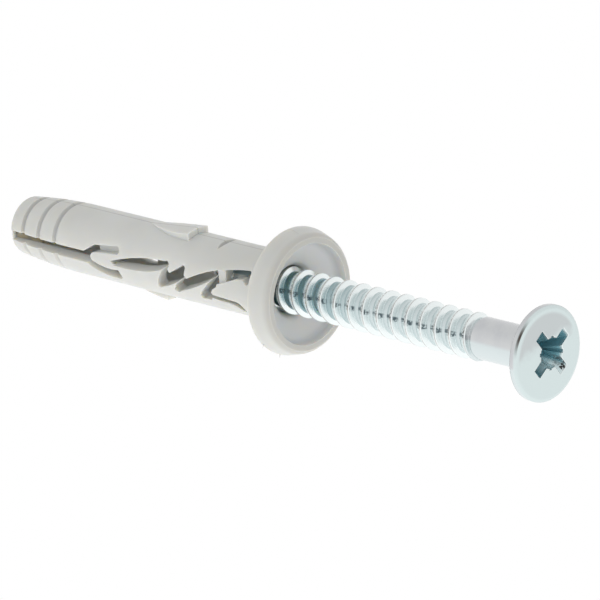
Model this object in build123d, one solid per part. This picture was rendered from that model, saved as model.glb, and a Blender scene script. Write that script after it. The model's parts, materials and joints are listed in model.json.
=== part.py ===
from build123d import *
import os
from math import hypot

# Nylon hammer fixing, standing on the head of its screw.
# Both pieces are drawn about the X axis, the middle of the collar's front at
# the origin, the head of the screw towards +X and the tip of the sleeve
# towards -X, and are stood up at the end. All sizes are in millimetres.

# Screw
thread_radius = 2.64
root_radius = 2.12
shank_radius = 2.37
thread_pitch = 2.166
crest_width = 0.3
lead_flank_width = 0.95
lock_flank_width = 0.2
screw_length = 50.0
point_length = 3.6
point_end_radius = 0.4
point_round = 0.8
lead_length = 6.63            # end of the point to the first thread
thread_runout = 1.1
shank_length = 6.8            # last thread to the underside of the head
shank_fillet = 0.35
thread_turn = 15.0            # where round the axis the thread starts, degrees

# Head of the screw and its cross recess
head_radius = 5.38
head_rim = 0.5                # straight edge of the head
head_edge = 0.2               # height of the head's worn front edge
head_edge_drop = 0.38         # and how far it comes in
head_flat = 0.13              # flat ring between the rim and the underside
seat_slope = 0.577            # rise of the underside and of its seat, per mm
recess_span = 6.1
recess_depth = 2.9
wing_width = 1.35
wing_end_span = 2.3
wing_end_width = 0.85
cone_radius = 1.75
cone_end_radius = 0.55
rib_span = 3.8
rib_width = 0.42
rib_end_span = 2.1
recess_turn = 45.0
recess_off_centre = 0.62      # the recess is punched a little off the axis

# Sleeve
sleeve_length = 45.0
body_radius = 4.0
bore_clearance = 0.1
tip_radius = 3.36
tip_round = 0.45
ring_count = 3                # shallow rings in the tapered tip
ring_first = 2.35
ring_pitch = 2.8
ring_dip = 0.26
ring_dip_width = 0.7
ring_ramp = 0.5
ring_front_radii = (3.57, 3.83, 3.97)  # in front of each dip, from the tip
ring_back_radii = (3.66, 3.88)         # behind the first dips
barb_root = 0.45              # how far the barbs go down into the wall

# Collar
collar_radius = 7.3
collar_front_radius = 6.45
collar_thickness = 2.8
collar_land = 0.45            # straight stretch at the collar's widest place
collar_front_round = 0.4
collar_back_round = 0.4
collar_root_round = 0.3
dish_radius = 5.8
dish_draft = 0.2
dish_wall = 1.15
dish_round = 0.45
mouth_radius = 3.1
mouth_length = 0.5
mouth_round = 0.25

# Slits, windows and teeth in both sides of the sleeve. Heights are above the
# middle plane. Places of the front leg's openings are counted from the tip,
# all others from the front of the collar. The lower half rolls over into them.
slit_half = 0.45
roll_start = 2.4              # where the lower edges begin to slope, from the middle
roll_down = 0.36              # and by how much, per mm outwards
roll_back = 0.24
nose_place = 14.0
lens_place = 17.2
teeth_place = 18.4
web_place = 10.75
web_width = 1.1
window_end = 5.75

# Barbs
barb_radius = 4.77
barb_half_width = 1.6
barb_length = 7.6
top_barb_end = 17.05
low_barb_radius = 4.65
low_barb_half_width = 1.2
low_barb_end = 21.85
low_barb_length = 6.1
saddle_place = 12.4
saddle_depth = 0.45
saddle_width = 1.0

# How the two pieces stand to each other
rest_sink = 35.57             # how far the head's face stands in front of the collar
screw_turn = -10.4            # turn of the screw in the sleeve, degrees
seat_gap = 0.08

bore_radius = thread_radius + bore_clearance
tip_x = -sleeve_length
head_x = rest_sink
point_x = head_x - screw_length
under_x = head_x - head_edge - head_rim
cone_rise = (head_radius - head_flat - shank_radius) * seat_slope
shank_end_x = under_x - cone_rise
thread_end_x = shank_end_x - shank_length
thread_start_x = point_x + lead_length
floor_x = -dish_wall
mouth_x = floor_x - (dish_radius - dish_draft - mouth_radius) * seat_slope

# The head goes down into the dish until its edge meets the sloping floor.
seated_x = floor_x - (dish_radius - dish_draft - head_radius) * seat_slope
stroke = under_x - seated_x - seat_gap


def face_of(start, *steps):
    """Closed face from a start point and steps: one point is a line to it,
    two are an arc through the first to the second, more are a smooth curve."""
    edges = []
    here = start
    for step in steps:
        if len(step) == 1:
            edges.append(Line(here, step[0]))
        elif len(step) == 2:
            edges.append(ThreePointArc(here, *step))
        else:
            edges.append(Spline(here, *step))
        here = step[-1]
    if here != start:
        edges.append(Line(here, start))
    return make_face(Curve() + edges)


def rounded_face(*corners):
    """Closed face through corners given as (x, y) or as (x, y, reach), where
    reach is how far before and after the corner its rounding begins."""
    edges = []
    ends = []
    count = len(corners)
    for i, corner in enumerate(corners):
        x, y = corner[:2]
        reach = corner[2] if len(corner) > 2 else 0
        if not reach:
            ends.append(((x, y), (x, y)))
            continue
        before = corners[i - 1]
        after = corners[(i + 1) % count]
        ax, ay = before[0] - x, before[1] - y
        bx, by = after[0] - x, after[1] - y
        a, b = hypot(ax, ay), hypot(bx, by)
        ax, ay, bx, by = ax / a, ay / a, bx / b, by / b
        mx, my = ax + bx, ay + by
        half_cos = hypot(mx, my) / 2
        half_sin = hypot(ax - bx, ay - by) / 2
        depth = reach * (1 - half_sin) / half_cos / (2 * half_cos)
        first = (x + ax * reach, y + ay * reach)
        last = (x + bx * reach, y + by * reach)
        edges.append(ThreePointArc(first, (x + mx * depth, y + my * depth), last))
        ends.append((first, last))
    for i, (first, _) in enumerate(ends):
        edges.append(Line(ends[i - 1][1], first))
    return make_face(Curve() + edges)


def turned(face):
    """Solid of a half section drawn in the XZ plane, turned about the X axis."""
    return revolve(Plane.XZ * face, Axis.X)


def through(face):
    """Prism that runs through both walls of the sleeve, along Y."""
    return extrude(Plane.XZ * face, amount=2 * body_radius, both=True)


def sunk(face, floor_y):
    """Two prisms that go into the walls from outside, down to Y = floor_y on
    the one side and -floor_y on the other."""
    outer = extrude(Plane.XZ.offset(floor_y) * face, amount=2 * body_radius)
    return outer + mirror(outer, Plane.XZ)


def rolled(face):
    """Pair of leaning prisms that slope the lower edges of an opening."""
    reach = 2 * body_radius
    base = Plane.XZ.offset(roll_start) * face
    outer = extrude(base, amount=reach, dir=(-roll_back, -1, -roll_down))
    return outer + mirror(outer, Plane.XZ)


def sleeve_blank():
    """Ringed tip, straight body and dished collar, with the bore through it."""
    rings = []
    for i in range(ring_count):
        dip_x = tip_x + ring_first + i * ring_pitch
        rings.append((dip_x - ring_dip_width / 2, ring_front_radii[i]))
        rings.append((dip_x, ring_front_radii[i] - ring_dip, ring_dip_width / 4))
        rings.append((dip_x + ring_ramp, (ring_back_radii + (body_radius,))[i], ring_ramp / 3))
    back_x = -collar_thickness
    wide_x = back_x + collar_back_round + collar_land
    slope_x = -collar_front_round
    return turned(rounded_face(
        (tip_x, bore_radius),
        (tip_x, tip_radius, tip_round),
        *rings,
        (back_x, body_radius, collar_root_round),
        (back_x, collar_radius, collar_back_round),
        (wide_x, collar_radius, collar_land / 2),
        (slope_x, collar_front_radius + collar_front_round, collar_front_round / 2),
        (0, collar_front_radius),
        (0, dish_radius),
        (floor_x, dish_radius - dish_draft, dish_round),
        (mouth_x, mouth_radius, mouth_round),
        (mouth_x - mouth_length, bore_radius, mouth_round),
    ))


def front_opening():
    """Slit between the two front legs, forked round the nose of the tongue."""
    def at(place, height):
        return (tip_x + place, height)

    nose = nose_place
    return face_of(
        at(-1, slit_half),
        (at(nose - 1.1, slit_half),),
        (at(nose - 0.2, 1.0), at(nose + 0.6, 1.45)),
        (at(nose + 0.7, 0.5),),
        (at(nose, 0), at(nose + 0.3, -0.5)),
        (at(nose + 1.9, -0.95), at(nose + 4.3, -0.95)),
        (at(nose + 4.6, -1.95),),
        (at(nose + 1.7, -1.7), at(nose - 0.5, -slit_half)),
        (at(-1, -slit_half),),
    )


def front_roll():
    """The part of the front opening over which the lower edges slope."""
    def at(place, height):
        return (tip_x + place, height)

    nose = nose_place
    return face_of(
        at(-1, slit_half),
        (at(nose - 0.7, slit_half),),
        (at(nose - 0.1, 0),),
        (at(nose + 0.02, -0.35),),
        (at(nose + 0.3, -0.55),),
        (at(nose + 1.9, -1.0), at(nose + 4.3, -1.0)),
        (at(nose + 4.6, -1.95),),
        (at(nose + 1.7, -1.7), at(nose - 0.5, -slit_half)),
        (at(-1, -slit_half),),
    )


def front_pocket():
    """Blind pocket above the tongue."""
    def at(place, height):
        return (tip_x + place, height)

    left = nose_place + 0.45
    right = nose_place + 4.1
    return face_of(
        at(left, 0.55),
        (at(left, 1.4),),
        (at(right, 1.8),),
        (at(right + 0.5, 1.35), at(right, 0.9)),
    )


def teeth_opening():
    """Lens between the halves, the meshed saw teeth and the slit that runs
    back under the tongue of the collar."""
    lens_x = tip_x + lens_place
    span = -teeth_place - lens_x

    def lens(share, height):
        return (lens_x + share * span, height)

    x = -teeth_place
    tongue_x = -web_place
    return face_of(
        lens(0, 0),
        (lens(0.29, 0.8), lens(0.6, 1.33), lens(0.93, 1.52)),
        ((x, 1.42), (x + 0.05, 1.1)),
        ((x - 0.14, 0.7),),
        ((x + 0.2, 0.38),),
        ((x + 1.95, 1.42),),
        ((x + 2.35, 1.56), (x + 2.62, 1.25)),
        ((x + 2.5, 0.55),),
        ((x + 2.87, 0.16),),
        ((x + 5.3, 1.22), (tongue_x, 1.95)),
        ((tongue_x, 0.12),),
        ((tongue_x - 0.85, -0.42),),
        ((tongue_x - 0.98, -0.75), (tongue_x - 0.8, -1.05)),
        ((tongue_x + 2.4, -1.22),),
        ((tongue_x + 3.5, -1.65), (tongue_x + 3.75, -2.4)),
        ((tongue_x + 3.3, -2.5),),
        ((tongue_x + 2.4, -1.9), (tongue_x + 0.9, -1.7)),
        ((tongue_x - 2.1, -1.5),),
        ((tongue_x - 2.75, -1.35), (tongue_x - 2.65, -1.0)),
        ((tongue_x - 1.9, -0.3), (tongue_x - 0.55, 1.2)),
        ((x + 5.3, 0.29), (x + 1.6, -1.35)),
        ((x + 0.9, -1.5), (x + 0.75, -1.1)),
        ((x + 2.3, 0.4),),
        ((x + 0.4, -0.7), (x - 1.3, -1.35)),
        ((x - 1.85, -1.4), (x - 1.85, -1.05)),
        ((x - 1.4, -0.1), (x - 0.45, 1.12)),
        (lens(0.8, 0.65), lens(0.5, 0.15), lens(0.2, -0.2),
         lens(0.04, -0.3)),
    )


def teeth_roll():
    """The part of the teeth's opening over which the lower edges slope. It
    keeps clear of the tongue of the collar and fades out along the lens."""
    lens_x = tip_x + lens_place
    span = -teeth_place - lens_x

    def lens(share, height):
        return (lens_x + share * span, height)

    x = -teeth_place
    tongue_x = -web_place
    return face_of(
        lens(0.06, 0.1),
        (lens(0.29, 0.6),),
        (lens(0.6, 1.2),),
        (lens(0.93, 1.4),),
        ((x - 0.15, 1.25),),
        ((x - 0.3, 0.65),),
        ((x + 0.2, 0.3),),
        ((x + 1.95, 1.3),),
        ((x + 2.3, 0.5),),
        ((x + 2.87, 0.1),),
        ((x + 5.3, 1.1),),
        ((tongue_x - 0.1, 1.7),),
        ((tongue_x - 0.1, 0.57),),
        ((tongue_x - 1.0, -0.78),),
        ((tongue_x - 0.9, -1.3),),
        ((tongue_x - 1.3, -1.54),),
        ((tongue_x - 2.1, -1.5),),
        ((tongue_x - 2.75, -1.35), (tongue_x - 2.65, -1.0)),
        ((tongue_x - 1.9, -0.3), (tongue_x - 0.55, 1.2)),
        ((x + 5.3, 0.29), (x + 1.6, -1.35)),
        ((x + 0.9, -1.5), (x + 0.75, -1.1)),
        ((x + 2.3, 0.4),),
        ((x + 0.4, -0.7), (x - 1.3, -1.35)),
        ((x - 1.85, -1.4), (x - 1.85, -1.05)),
        ((x - 1.4, -0.1), (x - 0.45, 1.12)),
        (lens(0.8, 0.65), lens(0.5, 0.15), lens(0.2, 0.03)),
    )


def collar_window():
    """Window over the tongue of the collar, through which the screw shows."""
    left = web_width - web_place
    right = -window_end
    return face_of(
        (left, 0.75),
        ((left, 2.1),),
        ((left + 2.0, 2.45), (right - 0.4, 2.6)),
        ((right - 0.05, 2.5), (right, 2.2)),
        ((right, 1.3),),
        ((right - 0.4, 1.05),),
        ((right - 1.1, 1.55),),
        ((right - 2.1, 1.45),),
    )


def web_relief():
    """The strip of wall between the teeth and the window lies a little deeper."""
    left = -web_place - 0.1
    right = left + web_width + 0.2
    return face_of(
        (left, 0.35), ((left, 1.85),), ((right, 2.05),), ((right, 0.8),)
    )


def barb(end_place, length, radius, half_width, side):
    """Ramp that rises towards the collar and ends in a step. Side is 1 on top
    of the sleeve and -1 below it."""
    end_x = -end_place
    start_x = end_x - length
    root = body_radius - barb_root
    ramp = turned(face_of(
        (start_x, root),
        ((start_x, body_radius),),
        ((end_x, radius),),
        ((end_x, root),),
    ))
    plan = face_of(
        (start_x, 0),
        ((start_x + 0.45 * length, 0.78 * half_width), (end_x, half_width)),
        ((end_x, -half_width),),
        ((start_x + 0.45 * length, -0.78 * half_width), (start_x, 0)),
    )
    return ramp & extrude(plan, amount=side * 2 * radius)


def saddle():
    """Shallow notch across the top of the sleeve."""
    half = saddle_width / 2
    return through(face_of(
        (-saddle_place, body_radius - saddle_depth),
        ((-saddle_place - 2 * half, body_radius + saddle_depth),),
        ((-saddle_place + 2 * half, body_radius + saddle_depth),),
    ))


def make_sleeve():
    sleeve = sleeve_blank()
    sleeve += barb(top_barb_end, barb_length, barb_radius, barb_half_width, 1)
    sleeve += barb(low_barb_end, low_barb_length, low_barb_radius, low_barb_half_width, -1)
    for opening in (front_opening(), teeth_opening(), collar_window()):
        sleeve -= through(opening)
    for opening in (front_roll(), teeth_roll()):
        sleeve -= rolled(opening)
    sleeve -= sunk(front_pocket(), 3.0)
    sleeve -= sunk(web_relief(), 3.45)
    sleeve -= saddle()
    # The slopes cut free thin slivers at the teeth's tips, which are left out.
    return max(sleeve.solids(), key=lambda solid: solid.volume)


def screw_blank():
    """Point, core, shank and countersunk head, turned in one piece."""
    return turned(rounded_face(
        (point_x, 0),
        (point_x, point_end_radius),
        (point_x + point_length, root_radius, point_round),
        (thread_end_x - thread_runout / 2, root_radius),
        (thread_end_x, shank_radius),
        (shank_end_x, shank_radius, shank_fillet),
        (under_x, head_radius - head_flat),
        (under_x, head_radius),
        (head_x - head_edge, head_radius, head_edge / 3),
        (head_x, head_radius - head_edge_drop, head_edge / 3),
        (head_x, 0),
    ))


def thread_turns():
    """Right-hand thread in single turns, with a gentle flank towards the point
    and a steep one towards the head, trimmed where it runs in and out."""
    sink = 0.15
    grow = 1 + sink / (thread_radius - root_radius)
    half = crest_width / 2
    section = Plane.XZ * make_face(Polyline(
        (root_radius - sink, -half - lead_flank_width * grow),
        (thread_radius, -half),
        (thread_radius, half),
        (root_radius - sink, half + lock_flank_width * grow),
        close=True,
    ))
    path = Helix(thread_pitch, thread_pitch, root_radius)
    turn = Plane((0, 0, 0), (0, 1, 0), (1, 0, 0)) * sweep(section, path=path, is_frenet=True)
    turn = Rot(X=thread_turn) * turn
    over = thread_radius + 2 * sink
    full_x = thread_start_x + thread_pitch / 2
    fade_x = thread_end_x - thread_runout
    end_x = thread_end_x + thread_runout / 2
    limit = turned(rounded_face(
        (full_x - thread_pitch, 0),
        (full_x - thread_pitch, root_radius - sink),
        (full_x, over),
        (fade_x, over),
        (end_x, shank_radius - sink),
        (end_x, 0),
    ))
    solids = []
    place = thread_start_x - thread_pitch
    while place < end_x + thread_pitch:
        piece = Pos(X=place) * turn
        if place - thread_pitch < full_x or place + 2 * thread_pitch > fade_x:
            piece = piece & limit
        if piece:
            solids += piece.solids()
        place += thread_pitch
    return solids


def cross_recess():
    """Type Z cross recess: two tapered wings, a cone and four short ribs."""
    front = Plane.YZ.offset(head_x + 0.01)
    floor = Plane.YZ.offset(head_x - recess_depth)
    wing = loft([
        front * Rectangle(recess_span, wing_width),
        floor * Rectangle(wing_end_span, wing_end_width),
    ])
    rib = loft([
        front * Rectangle(rib_span, rib_width),
        floor * Rectangle(rib_end_span, rib_width / 2),
    ])
    cone = loft([front * Circle(cone_radius), floor * Circle(cone_end_radius)])
    tool = cone
    for turn in (0, 90):
        tool += Rot(X=turn) * wing
        tool += Rot(X=turn + 45) * rib
    return Pos(Y=recess_off_centre) * (Rot(X=recess_turn) * tool)


def make_screw():
    return screw_blank().fuse(*thread_turns()) - cross_recess()


def stood(shape, turn=0.0):
    """Turns a piece about its own axis, then stands it up: the face of the
    screw's head on the floor, the tip of the sleeve up, its top towards +X."""
    return Pos(Z=head_x) * (Rot(Y=90) * (Rot(X=turn) * shape))


os.makedirs("parts", exist_ok=True)
export_step(stood(make_sleeve()), "parts/expansion_sleeve.step")
export_step(stood(make_screw(), screw_turn), "parts/hammer_screw.step")
print("stroke", round(stroke, 3))
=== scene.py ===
import json
from math import cos, pi, radians, sin, tau

import bmesh
import bpy
from mathutils import Matrix, Vector


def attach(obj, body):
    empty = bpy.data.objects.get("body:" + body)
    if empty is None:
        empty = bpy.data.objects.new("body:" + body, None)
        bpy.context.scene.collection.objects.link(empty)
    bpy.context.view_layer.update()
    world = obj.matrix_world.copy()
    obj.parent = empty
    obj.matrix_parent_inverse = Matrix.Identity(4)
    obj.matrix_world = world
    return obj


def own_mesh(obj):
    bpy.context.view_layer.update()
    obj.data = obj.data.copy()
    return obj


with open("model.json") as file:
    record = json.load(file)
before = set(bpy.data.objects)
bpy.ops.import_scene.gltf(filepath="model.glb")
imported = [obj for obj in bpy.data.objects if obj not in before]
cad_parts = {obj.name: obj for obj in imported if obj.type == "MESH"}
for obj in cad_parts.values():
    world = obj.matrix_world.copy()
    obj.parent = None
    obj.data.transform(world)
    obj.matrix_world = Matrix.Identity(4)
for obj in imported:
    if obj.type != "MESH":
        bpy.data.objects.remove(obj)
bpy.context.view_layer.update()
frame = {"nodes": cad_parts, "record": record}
scene = bpy.context.scene
mm = 0.001

# The fixing stands on the screw's head. Where things are is read from the
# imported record. Places further down are counted along the fixing, in mm from
# the front of the collar, + towards the head.
mounts = {mount["name"]: mount for mount in frame["record"]["mounts"]}
collarThickness = 2.8
collarFront = Vector((0, 0, mounts["collar_seat"]["pos_m"][2] - collarThickness * mm))
headFace = collarFront.z / mm
screwTurn = radians(-10.4)  # how the screw is turned in the sleeve
print("frame loaded, collar's front", round(headFace, 2), "mm up")


def linearColour(hexCode):
    channels = [int(hexCode[i:i + 2], 16) / 255 for i in (1, 3, 5)]
    return [c / 12.92 if c <= 0.04045 else ((c + 0.055) / 1.055) ** 2.4 for c in channels] + [1]


# Adds one node. Its inputs come in the order of its sockets, or in a
# dictionary by name or number. One that is itself a socket is linked, and one
# that is a hex colour is made linear. Settings are the node's own.
def addNode(tree, kind, inputs=(), **settings):
    node = tree.nodes.new("ShaderNode" + kind)
    for key, value in settings.items():
        setattr(node, key, value)
    pairs = inputs.items() if isinstance(inputs, dict) else enumerate(inputs)
    for key, value in pairs:
        if isinstance(value, bpy.types.NodeSocket):
            tree.links.new(value, node.inputs[key])
        elif isinstance(value, str):
            node.inputs[key].default_value = linearColour(value)
        else:
            node.inputs[key].default_value = value
    return node


def newMaterial(name):
    material = bpy.data.materials.new(name)
    material.use_nodes = True
    material.node_tree.nodes.clear()
    return material, material.node_tree


# A mask that is 1 where all conditions hold. Each is a mask or a share, or a
# value with where it starts to count and where it counts in full, and if need
# be how much it counts before and after.
def where(tree, *conditions):
    mask = 1.0
    for condition in conditions:
        if isinstance(condition, tuple):
            step = addNode(tree, "MapRange", condition, interpolation_type="SMOOTHSTEP")
            condition = step.outputs[0]
        mask = addNode(tree, "Math", (mask, condition), operation="MULTIPLY").outputs[0]
    return mask


# How far a value is from a middle, to either side.
def awayFrom(tree, value, middle=0.0):
    difference = addNode(tree, "Math", (value, middle), operation="SUBTRACT").outputs[0]
    return addNode(tree, "Math", (difference,), operation="ABSOLUTE").outputs[0]


# Lays coats of colour over each other, each where its mask is 1.
def paint(tree, colour, *coats):
    for mask, coat in coats:
        colour = addNode(tree, "Mix", {0: mask, 6: colour, 7: coat}, data_type="RGBA").outputs[2]
    return colour


# Raises the surface where each mask is 1, by its height in mm.
def relief(tree, rounded, *layers):
    height = 0.0
    for mask, most in layers:
        height = addNode(tree, "Math", (mask, most, height), operation="MULTIPLY_ADD").outputs[0]
    bump = addNode(tree, "Bump", {
        "Height": height, "Strength": 1.0, "Distance": mm, "Normal": rounded,
    })
    return bump.outputs[0]


# Object coordinates turned to the fixing's own axis, in mm: X along it from
# the collar's front to the head, Z through the larger barb.
def ownCoordinates(tree, turn=0.0):
    place = addNode(tree, "TexCoord").outputs["Object"]
    mapping = addNode(tree, "Mapping", {
        "Vector": place, "Location": collarFront,
        "Rotation": (turn, radians(90), 0), "Scale": (mm, mm, mm),
    }, vector_type="TEXTURE")
    return mapping.outputs[0]


# How far a point is from the line along the fixing through (across, up).
def fromLine(tree, place, across=0.0, up=0.0):
    flat = addNode(tree, "VectorMath", (place, (0, 1, 1)), operation="MULTIPLY").outputs[0]
    line = (0, across, up)
    return addNode(tree, "VectorMath", (flat, line), operation="DISTANCE").outputs["Value"]


# The cosines of the rounding at which an edge starts to show and shows in full.
edgeStep = (0.99, 0.85)


# Rounds every edge in the shading and gives where the edges are.
def roundedEdges(tree, reach):
    rounded = addNode(tree, "Bevel", {"Radius": reach}, samples=6).outputs[0]
    flat = addNode(tree, "NewGeometry").outputs["Normal"]
    same = addNode(tree, "VectorMath", (rounded, flat), operation="DOT_PRODUCT").outputs["Value"]
    return where(tree, (same, *edgeStep)), rounded


# A pair says where something starts to show and where it shows in full. Four
# numbers say as well how much it shows before and after.
nylon = {
    "colour": "#d3d4d1", "shadeColour": "#cdceca", "mottleStep": (0.3, 0.7),
    "mottleSize": 8.0, "grainSize": 0.14, "patternDetail": 2, "grainHeight": 0.003,
    "roughness": 0.42, "specular": 0.5, "ior": 1.53,
    "glow": 1.0, "glowDepth": (1.0, 0.85, 0.62),
    "edgeRound": 0.14, "edgeHighlightColour": "#dddcd9",

    # The collar's dish and the ring round it.
    "dishColour": "#dadbdb", "dishRadius": (5.82, 5.75), "dishAlong": (-2.7, -2.5),
    "ringColour": "#bfbfbb", "ringRadius": (5.7, 5.8), "ringAlong": (-0.9, -0.1),

    # Painted shade in the tip's grooves and in the saddle.
    "grooveShadeColour": "#acacaa", "grooveShadeShare": 0.8,
    "grooveFirst": -42.7, "groovePitch": 2.8, "grooveCount": 3, "grooveHalf": (0.42, 0.168),
    "grooveRadius": (3.1, 3.2), "grooveUp": (-1.5, 1.0, 0.15, 0.75),
    "saddlePlace": -12.35, "saddleHalf": (0.6, 0.42), "saddleUp": (1.5, 2.5),
    "saddleInner": (3.3, 3.4), "saddleOuter": (3.97, 3.85),

    # The mould's parting line.
    "partingColour": "#a8a7a4", "partingShare": 0.7, "partingHeight": 0.05,
    "partingHalf": (0.09, 0.027), "partingUp": (3.1, 3.3), "partingRim": (6.9, 7.1, 0.0, 0.4),
    "collarBack": -collarThickness - 0.1,
}


# Polyamide, injection moulded in a tool with spark-eroded walls: pale and a
# little see-through, so its slits are warm, with a painted highlight along its
# edges; satin, with a fine even grain.
def makeMouldedNylon():
    material, tree = newMaterial("mouldedPolyamide")
    place = ownCoordinates(tree)
    along, side, up = addNode(tree, "SeparateXYZ", (place,)).outputs
    radius = fromLine(tree, place)
    mottle, grain = (
        addNode(tree, "TexNoise", {
            "Vector": place, "Scale": 1 / size, "Detail": nylon["patternDetail"],
        }).outputs[0]
        for size in (nylon["mottleSize"], nylon["grainSize"])
    )

    # The dish is painted paler, and the ring round it greyer.
    inDish = where(tree, (radius, *nylon["dishRadius"]), (along, *nylon["dishAlong"]))
    onRing = where(tree, (radius, *nylon["ringRadius"]), (along, *nylon["ringAlong"]))

    # The tip's grooves are painted darker as shade, more of it on top, and so
    # is the saddle behind the barb.
    offSaddle = awayFrom(tree, along, nylon["saddlePlace"])
    grooveShade = where(
        tree, (offSaddle, *nylon["saddleHalf"]), (up, *nylon["saddleUp"]),
        (radius, *nylon["saddleInner"]), (radius, *nylon["saddleOuter"]),
    )
    for i in range(nylon["grooveCount"]):
        offGroove = awayFrom(tree, along, nylon["grooveFirst"] + i * nylon["groovePitch"])
        groove = where(
            tree, (offGroove, *nylon["grooveHalf"]), (radius, *nylon["grooveRadius"]),
            (up, *nylon["grooveUp"]),
        )
        grooveShade = addNode(tree, "Math", (grooveShade, groove), operation="MAXIMUM").outputs[0]

    # The two halves of the mould meet along the top and the bottom. On the
    # collar the line is fainter, and only round its rim.
    onCollar = addNode(tree, "Math", (along, nylon["collarBack"]), operation="GREATER_THAN")
    onBody = where(tree, (awayFrom(tree, up), *nylon["partingUp"]))
    onRim = where(tree, (radius, *nylon["partingRim"]))
    outside = addNode(tree, "Mix", {0: onCollar.outputs[0], 2: onBody, 3: onRim}).outputs[0]
    line = where(tree, (awayFrom(tree, side), *nylon["partingHalf"]), outside)

    # Every edge has the small radius that the tool leaves, and a painted highlight along it.
    edge, rounded = roundedEdges(tree, nylon["edgeRound"] * mm)
    colour = paint(
        tree, nylon["shadeColour"],
        (where(tree, (mottle, *nylon["mottleStep"])), nylon["colour"]),
        (onRing, nylon["ringColour"]),
        (inDish, nylon["dishColour"]),
        (where(tree, grooveShade, nylon["grooveShadeShare"]), nylon["grooveShadeColour"]),
        (edge, nylon["edgeHighlightColour"]),
        (where(tree, line, nylon["partingShare"]), nylon["partingColour"]),
    )
    shader = addNode(tree, "BsdfPrincipled", {
        "Base Color": colour, "Roughness": nylon["roughness"], "IOR": nylon["ior"],
        "Specular IOR Level": nylon["specular"], "Subsurface Weight": nylon["glow"],
        "Subsurface Radius": nylon["glowDepth"], "Subsurface Scale": mm,
        "Normal": relief(
            tree, rounded, (line, nylon["partingHeight"]), (grain, nylon["grainHeight"]),
        ),
    })
    addNode(tree, "OutputMaterial", {"Surface": shader.outputs[0]})
    return material


zinc = {
    "colour": "#d0d2d3",
    "tintColour": "#c9cbce", "tintStep": (0.35, 0.7), "roughStep": (0.3, 0.7, 0.17, 0.27),
    "scuffHeight": 0.006, "scuffInRecess": 0.2,

    # How large each pattern is in mm, and how detailed.
    "patterns": {"tint": (2.2, 3), "blot": (1 / 3.5, 2), "bandNoise": (1 / 5.5, 4), "scuff": (0.3, 4)},

    # The thread, and on each turn of it the painted shade in the hollow, the
    # painted dark reflections and the fold along the crest.
    "threadColour": "#eef4f4", "threadStart": (-8.1, -7.6), "threadEnd": (26.1, 25.6),
    "pitch": 2.166, "crestMiddle": -0.412, "crestTurn": radians(163),
    "valleyShadeColour": "#7c9ca2", "valleyStart": (0.32, 0.42), "valleyEnd": (1.85, 1.35),
    "valleyAlong": (11.0, 0.0, 0.33, 1.0),
    "speckReflectionColour": "#68757b", "speckTurn": radians(173), "speckBlot": (0.42, 0.5),
    "speckSpread": (radians(9), radians(4.5)), "speckPlace": 0.27, "speckHalf": (0.104, 0.08),
    "darkBandColour": "#6f777a", "darkBandSpread": (radians(48), 0.0), "darkBandStart": (1.3, 1.8),
    "darkBandNoise": (0.42, 0.62),
    "seamColour": "#9b9389", "seamPlace": -0.06, "seamHalf": (0.06, 0.0), "seamDepth": 0.04,
    "seamBlot": (0.35, 0.55),
    "lipPlace": -0.2, "lipHalf": (0.09, 0.0), "lipHeight": 0.05,

    # The lead in front of the thread.
    "leadReflectionColour": "#a5b9be", "leadMetal": 0.55, "leadAlong": (-7.5, -7.8),
    "leadHighlightColour": "#f4fafb", "leadHighlightTurn": radians(165),
    "leadHighlightSpread": (radians(13), radians(3.9)),

    # The screw's side with painted light, the head's face and its rim.
    "litSideColour": "#d6dfe0", "lightUp": (1.1, 0.6),
    "faceColour": "#d2dede", "faceBelow": (0.3, 0.1),
    "faceShadeColour": "#c3c9ca", "paintedSideTurn": radians(110), "faceShadeWander": 3.0, "faceShadeUp": (2.1, 3.5),
    "faceShadeRadius": (4.8, 4.3),
    "edgeHighlightColour": "#f6fafa", "edgeRound": 0.16, "threadRound": 0.05,
    "rimReflectionColour": "#4d4541", "rimPlace": 5.2, "rimHalf": (0.2, 0.1), "rimTurn": radians(152),
    "rimSpread": (radians(29), 0.0),

    # The recess, which is a little off the screw's axis.
    "recessOff": 0.62, "recessSlope": 0.62, "recessRadius": (3.2, 3.1),
    "recessBelow": (0.03, 0.4), "recessEnd": 3.0, "recessShadeColour": "#7aa8b2", "recessMetal": 0.5,
    "recessLitColour": "#d5e6e8", "paleTurn": radians(-113), "paleOut": (0.0, 0.4),
    "paleSide": (-0.9, -0.1),
    "chips": ((2.0, -1.2, 0.75), (2.9, -1.9, 0.5), (-0.1, -2.9, 0.45)), "chipFull": 0.6,
    "chipColour": "#120e0c", "chipBlot": (0.46, 0.5), "chipTop": (0.02, 0.1),
    "chipBottom": (1.3, 0.9),
}
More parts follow.
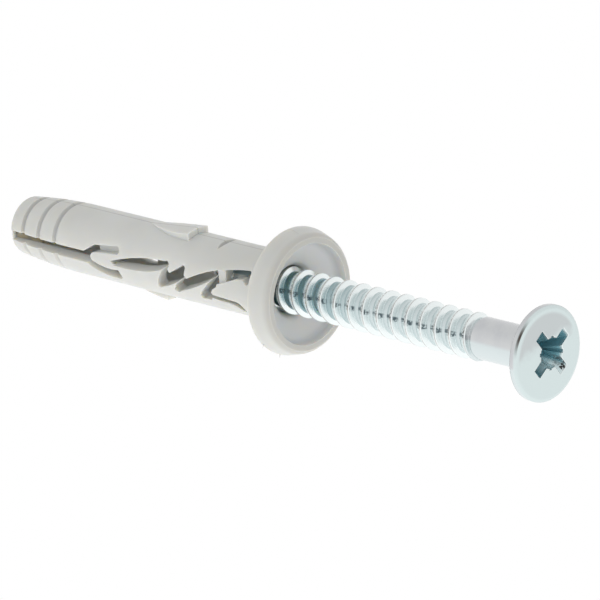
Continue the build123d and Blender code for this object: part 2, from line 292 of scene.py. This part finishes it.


# Bright zinc plate on rolled low-carbon steel: mirror-like but uneven, with
# the bluish tint of its passivation. The thread's root and the recess are
# painted a dark teal, as shade.
def makeZincPlate():
    material, tree = newMaterial("brightZincPlatedSteel")
    place = ownCoordinates(tree, screwTurn)
    along, side, up = addNode(tree, "SeparateXYZ", (place,)).outputs
    below = addNode(tree, "Math", (headFace, along), operation="SUBTRACT").outputs[0]
    turn = addNode(tree, "Math", (up, side), operation="ARCTAN2").outputs[0]
    radius = fromLine(tree, place)
    pattern = {}
    for name, (size, detail) in zinc["patterns"].items():
        noise = addNode(tree, "TexNoise", {"Vector": place, "Scale": 1 / size, "Detail": detail})
        pattern[name] = noise.outputs[0]
    towardsPaintedSide, towardsPale = (
        addNode(tree, "VectorMath", (place, (0, cos(angle), sin(angle))), operation="DOT_PRODUCT")
        for angle in (zinc["paintedSideTurn"], zinc["paleTurn"])
    )

    # How far along the axis a point is from the nearest crest's middle, and
    # how far past the last one.
    advance = zinc["pitch"] / tau
    crestStart = zinc["crestMiddle"] - zinc["crestTurn"] * advance
    unrolled = addNode(tree, "Math", (turn, -advance, along), operation="MULTIPLY_ADD").outputs[0]
    unrolled = addNode(tree, "Math", (unrolled, crestStart), operation="SUBTRACT").outputs[0]
    fromCrest, pastCrest = (
        addNode(tree, "Math", (unrolled, most, most - zinc["pitch"]), operation="WRAP").outputs[0]
        for most in (zinc["pitch"] / 2, zinc["pitch"])
    )
    onThread = where(tree, (along, *zinc["threadStart"]), (along, *zinc["threadEnd"]))
    inValley = where(
        tree, onThread, (pastCrest, *zinc["valleyStart"]), (pastCrest, *zinc["valleyEnd"]),
        (along, *zinc["valleyAlong"]),
    )

    # Each turn has a small painted dark reflection, all in one line, with a
    # painted darker band round it, and a lip with a dark seam along the crest,
    # where the metal folded.
    offSpeck = awayFrom(tree, turn, zinc["speckTurn"])
    speckReflection = where(
        tree, onThread, (offSpeck, *zinc["speckSpread"]), (pattern["blot"], *zinc["speckBlot"]),
        (awayFrom(tree, fromCrest, zinc["speckPlace"]), *zinc["speckHalf"]),
    )
    darkBand = where(
        tree, onThread, (offSpeck, *zinc["darkBandSpread"]), (pastCrest, *zinc["darkBandStart"]),
        (pattern["bandNoise"], *zinc["darkBandNoise"]),
    )
    offSeam = awayFrom(tree, fromCrest, zinc["seamPlace"])
    seam = where(tree, onThread, (offSeam, *zinc["seamHalf"]))
    lip = where(tree, onThread, (awayFrom(tree, fromCrest, zinc["lipPlace"]), *zinc["lipHalf"]))

    # The lead is duller and painted a dark teal as its reflection, with a painted highlight along
    # it.
    onLead = where(tree, (along, *zinc["leadAlong"]))
    offLeadHighlight = awayFrom(tree, turn, zinc["leadHighlightTurn"])
    leadHighlight = where(tree, (offLeadHighlight, *zinc["leadHighlightSpread"]))
    lead = paint(tree, zinc["leadReflectionColour"], (leadHighlight, zinc["leadHighlightColour"]))

    # One side of the head's face is painted greyer, as shade, and a painted dark reflection runs
    # along its rim.
    upward = towardsPaintedSide.outputs["Value"]
    uneven = addNode(
        tree, "Math", (pattern["tint"], zinc["faceShadeWander"], upward), operation="MULTIPLY_ADD",
    )
    faceShade = where(tree, (uneven.outputs[0], *zinc["faceShadeUp"]), (radius, *zinc["faceShadeRadius"]))
    onFace = where(tree, (below, *zinc["faceBelow"]))
    face = paint(tree, zinc["faceColour"], (faceShade, zinc["faceShadeColour"]))
    rimReflection = where(
        tree, onFace, (awayFrom(tree, radius, zinc["rimPlace"]), *zinc["rimHalf"]),
        (awayFrom(tree, turn, zinc["rimTurn"]), *zinc["rimSpread"]),
    )

    # The recess gets narrower as it goes down, and is dull inside. It is painted
    # dark teal as shade, and paler on one side as painted light.
    fromRecess = fromLine(tree, place, zinc["recessOff"])
    fromSlope = addNode(
        tree, "Math", (below, zinc["recessSlope"], fromRecess), operation="MULTIPLY_ADD",
    ).outputs[0]
    shallow = addNode(tree, "Math", (below, zinc["recessEnd"]), operation="LESS_THAN").outputs[0]
    inRecess = where(
        tree, shallow, (fromSlope, *zinc["recessRadius"]), (below, *zinc["recessBelow"]),
    )
    recessLit = where(
        tree, (towardsPale.outputs["Value"], *zinc["paleOut"]), (side, *zinc["paleSide"]),
    )
    recess = paint(tree, zinc["recessShadeColour"], (recessLit, zinc["recessLitColour"]))

    # The driver has chewed the mouth of two wings.
    chips = []
    for across, high, size in zinc["chips"]:
        fromChip = fromLine(tree, place, across, high)
        chips.append(where(
            tree, (fromChip, size, size * zinc["chipFull"]), (pattern["blot"], *zinc["chipBlot"]),
            (below, *zinc["chipTop"]), (below, *zinc["chipBottom"]),
        ))

    # Where it is dull or dirty it counts less as metal.
    metal = 1.0
    dulled = [(inRecess, zinc["recessMetal"]), (onLead, zinc["leadMetal"])]
    dulled += [(chip, 0.0) for chip in chips]
    for mask, share in dulled:
        metal = addNode(tree, "Math", (mask, share - 1, metal), operation="MULTIPLY_ADD").outputs[0]
    metal = addNode(tree, "Math", (metal, 0.0), operation="MAXIMUM").outputs[0]

    # The thread's edges are sharper than the head's.
    sharper = (zinc["threadRound"] - zinc["edgeRound"]) * mm
    reach = addNode(
        tree, "Math", (onThread, sharper, zinc["edgeRound"] * mm), operation="MULTIPLY_ADD",
    )
    edge, rounded = roundedEdges(tree, reach.outputs[0])
    colour = paint(
        tree, zinc["colour"],
        (where(tree, (pattern["tint"], *zinc["tintStep"])), zinc["tintColour"]),
        # One side of the screw is painted lighter, as light falling on it.
        (where(tree, (upward, *zinc["lightUp"])), zinc["litSideColour"]),
        (onThread, zinc["threadColour"]),
        (onFace, face),
        (inValley, zinc["valleyShadeColour"]),
        (inRecess, recess),
        (onLead, lead),
        *((chip, zinc["chipColour"]) for chip in chips),
        (darkBand, zinc["darkBandColour"]),
        (speckReflection, zinc["speckReflectionColour"]),
        (where(tree, seam, (pattern["blot"], *zinc["seamBlot"])), zinc["seamColour"]),
        # A painted highlight along the face's rounded edge.
        (where(tree, edge, onFace), zinc["edgeHighlightColour"]),
        (rimReflection, zinc["rimReflectionColour"]),
    )
    scuffed = where(tree, zinc["scuffHeight"], (inRecess, 0.0, 1.0, 1.0, zinc["scuffInRecess"]))
    shader = addNode(tree, "BsdfPrincipled", {
        "Base Color": colour, "Metallic": metal,
        "Roughness": addNode(tree, "MapRange", (pattern["tint"], *zinc["roughStep"])).outputs[0],
        "Normal": relief(
            tree, rounded, (pattern["scuff"], scuffed), (lip, zinc["lipHeight"]),
            (seam, -zinc["seamDepth"]),
        ),
    })
    addNode(tree, "OutputMaterial", {"Surface": shader.outputs[0]})
    return material


def dress(name, material):
    node = frame["nodes"][name]
    node.data.materials.clear()
    node.data.materials.append(material)


polyamide = makeMouldedNylon()
dress("expansion_sleeve", polyamide)
dress("hammer_screw", makeZincPlate())
print("materials made")


# A small solid that moves with the sleeve and is of its material.
def nylonPiece(name, points, faces):
    mesh = bpy.data.meshes.new(name)
    mesh.from_pydata(points, [], faces)
    built = bmesh.new()
    built.from_mesh(mesh)
    bmesh.ops.recalc_face_normals(built, faces=built.faces)
    built.to_mesh(mesh)
    built.free()
    mesh.materials.append(polyamide)
    piece = bpy.data.objects.new(name, mesh)
    scene.collection.objects.link(piece)
    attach(piece, "sleeve")
    return piece


# A solid turned round the fixing's axis between two turns, from a ring of
# (along, radius) corners.
def turnedPiece(name, ring, start, end, steps):
    points = []
    faces = []
    count = len(ring)
    for i in range(steps + 1):
        turn = start + (end - start) * i / steps
        for along, radius in ring:
            corner = Vector((radius * sin(turn), radius * cos(turn), -along))
            points.append(collarFront + corner * mm)
    for first in range(0, steps * count, count):
        for j in range(count):
            a, b = first + j, first + (j + 1) % count
            faces.append((a, b, b + count, a + count))
    faces.append(tuple(range(count)))
    faces.append(tuple(range(steps * count, (steps + 1) * count)))
    return nylonPiece(name, points, faces)


tip = {
    "end": -45.0, "bore": 2.74, "radius": 3.36, "wall": 0.45, "round": 0.45, "roundSteps": 4,
    "inset": 0.02, "endInset": 0.01, "slitHalf": 0.47, "bridgeSteps": 4,
    "sunk": 0.1, "petals": 6, "petalStart": 0.02, "petalReach": 2.8, "petalSteps": 8,
    "hinge": 2.65, "folded": 0.04,
}


# Both slits stop just short of the tip's end. These bridges close them there,
# a hair inside the sleeve's own faces.
def makeTipBridges():
    inner, outer = tip["bore"] - tip["inset"], tip["radius"] - tip["inset"]
    low, high = tip["end"] + tip["endInset"], tip["end"] + tip["wall"]
    ring = [(high, inner), (low, inner), (low, outer - tip["round"])]
    for i in range(1, tip["roundSteps"]):
        bend = pi / 2 * i / tip["roundSteps"]
        along = low + tip["round"] * (1 - cos(bend))
        ring.append((along, outer - tip["round"] * (1 - sin(bend))))
    ring.append((high, outer))
    half = tip["slitHalf"] / tip["bore"]
    for name, middle in (("near", pi), ("far", 0.0)):
        turnedPiece(name + "_tip_bridge", ring, middle - half, middle + half, tip["bridgeSteps"])


# A thin skin closes the bore at the tip. It is scored like a star, into petals.
def makeTipSkin():
    low, high = tip["end"] + tip["sunk"], tip["end"] + tip["wall"]
    start, reach = tip["petalStart"], tip["petalReach"]
    ring = [(low, start), (low, reach), (high, reach), (high, start)]
    width = tau / tip["petals"]
    for i in range(tip["petals"]):
        name = f"tip_petal_{i + 1}"
        petal = turnedPiece(name, ring, i * width, (i + 1) * width, tip["petalSteps"])
        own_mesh(petal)


flash = {
    "places": ((218.5, -2.2), (242.5, -2.2)),  # degrees round the axis, and mm along it
    "root": 7.2, "length": 0.55, "thick": 0.12, "curl": 0.12, "sides": 5,
}


# Small whiskers of flash were left on the collar's rim.
def makeFlash():
    sides = flash["sides"]
    lengthways = Vector((0, 0, 1))
    for i, (degrees, along) in enumerate(flash["places"]):
        turn = radians(degrees)
        outward = Vector((sin(turn), cos(turn), 0))
        sideways = outward.cross(lengthways)
        root = collarFront - lengthways * along * mm + outward * flash["root"] * mm
        points = []
        for j in range(sides):
            bend = tau * j / sides
            spoke = sideways * cos(bend) + lengthways * sin(bend)
            points.append(root + spoke * flash["thick"] * mm)
        points.append(root + (outward * flash["length"] + sideways * flash["curl"]) * mm)
        faces = [(j, (j + 1) % sides, sides) for j in range(sides)]
        faces.append(tuple(reversed(range(sides))))
        nylonPiece(f"flash_whisker_{i + 1}", points, faces)


makeTipBridges()
makeTipSkin()
makeFlash()
print("tip closed and flash left on")


# The photo was taken from far off with a long lens, nearly as flat as a
# drawing, of a fixing that lay on its side. Here it stands on its head, so
# the camera looks up at it and is rolled over. Right and down are how far the
# collar's front is from the picture's middle, in mm.
camera = {
    "azimuth": radians(27.59), "elevation": radians(-42.32), "roll": radians(-75.87),
    "lens": 386.1, "sensor": 36, "distance": 0.71487, "right": 1.115, "down": -0.625,
    "near": 0.05, "far": 10,
}


def cameraAxes():
    az, el, roll = camera["azimuth"], camera["elevation"], camera["roll"]
    toCamera = Vector((sin(az) * cos(el), -cos(az) * cos(el), sin(el)))
    level = Vector((cos(az), sin(az), 0))
    upright = toCamera.cross(level)
    right = level * cos(roll) + upright * sin(roll)
    return right, toCamera.cross(right), toCamera


def makeCamera():
    right, upward, toCamera = cameraAxes()
    data = bpy.data.cameras.new("camera")
    data.lens = camera["lens"]
    data.sensor_width = camera["sensor"]
    data.clip_start = camera["near"]
    data.clip_end = camera["far"]
    place = collarFront + toCamera * camera["distance"]
    place += (upward * camera["down"] - right * camera["right"]) * mm
    turn = Matrix((right, upward, toCamera)).transposed().to_4x4()
    holder = bpy.data.objects.new("camera", data)
    holder.matrix_world = Matrix.Translation(place) @ turn
    scene.collection.objects.link(holder)
    scene.camera = holder
    scene.view_settings.view_transform = "Standard"


makeCamera()
print("camera made")


studio = {
    "floorSize": 3.0, "floorDrop": 0.05 * mm, "floorColour": "#e9e9e9", "floorRoughness": 0.9,
    "backdrop": "#ffffff", "skyColour": "#ffffff",
    "brightSide": (-0.936, -0.304, -0.181),
    "brightStep": (-1.0, 1.0, 0.68, 1.3),  # from the dark side to the bright one
    "evenness": 0.5,
}


# A pale board that takes the shadow. Seen from below, where the photo's view
# is, it isn't there.
def makeFloor():
    half, low = studio["floorSize"] / 2, -studio["floorDrop"]
    corners = [(-half, -half, low), (half, -half, low), (half, half, low), (-half, half, low)]
    mesh = bpy.data.meshes.new("floor")
    mesh.from_pydata(corners, [], [(0, 1, 2, 3)])
    floor = bpy.data.objects.new("floor", mesh)
    scene.collection.objects.link(floor)

    material, tree = newMaterial("mattPaintedBoard")
    paintedBoard = addNode(tree, "BsdfPrincipled", {
        "Base Color": studio["floorColour"], "Roughness": studio["floorRoughness"],
    }).outputs[0]
    clear = addNode(tree, "BsdfTransparent").outputs[0]
    fromCamera = addNode(tree, "LightPath").outputs["Is Camera Ray"]
    fromBelow = addNode(tree, "NewGeometry").outputs["Backfacing"]
    solid = where(tree, fromCamera, (fromBelow, 1.0, 0.0))
    both = addNode(tree, "MixShader", (solid, clear, paintedBoard))
    addNode(tree, "OutputMaterial", {"Surface": both.outputs[0]})
    mesh.materials.append(material)


# Light comes softly from all round, and more of it from one side. Metal
# mirrors it more evenly than it falls, as it would among white boards.
def makeWorld():
    world = bpy.data.worlds.new("softStudio")
    scene.world = world
    world.use_nodes = True
    tree = world.node_tree
    tree.nodes.clear()
    direction = addNode(tree, "TexCoord").outputs["Generated"]
    towards = addNode(
        tree, "VectorMath", (direction, studio["brightSide"]), operation="DOT_PRODUCT",
    ).outputs["Value"]
    cast = addNode(tree, "MapRange", (towards, *studio["brightStep"])).outputs[0]
    evened = (cast, studio["evenness"], 1 - studio["evenness"])
    mirrored = addNode(tree, "Math", evened, operation="MULTIPLY_ADD").outputs[0]
    rays = addNode(tree, "LightPath").outputs
    strength = addNode(tree, "Mix", {0: rays["Is Glossy Ray"], 2: cast, 3: mirrored}).outputs[0]
    sky = addNode(tree, "Background", (studio["skyColour"], strength)).outputs[0]
    white = addNode(tree, "Background", (studio["backdrop"], 1.0)).outputs[0]
    both = addNode(tree, "MixShader", (rays["Is Camera Ray"], sky, white))
    addNode(tree, "OutputWorld", {"Surface": both.outputs[0]})


makeFloor()
makeWorld()
print("studio made")
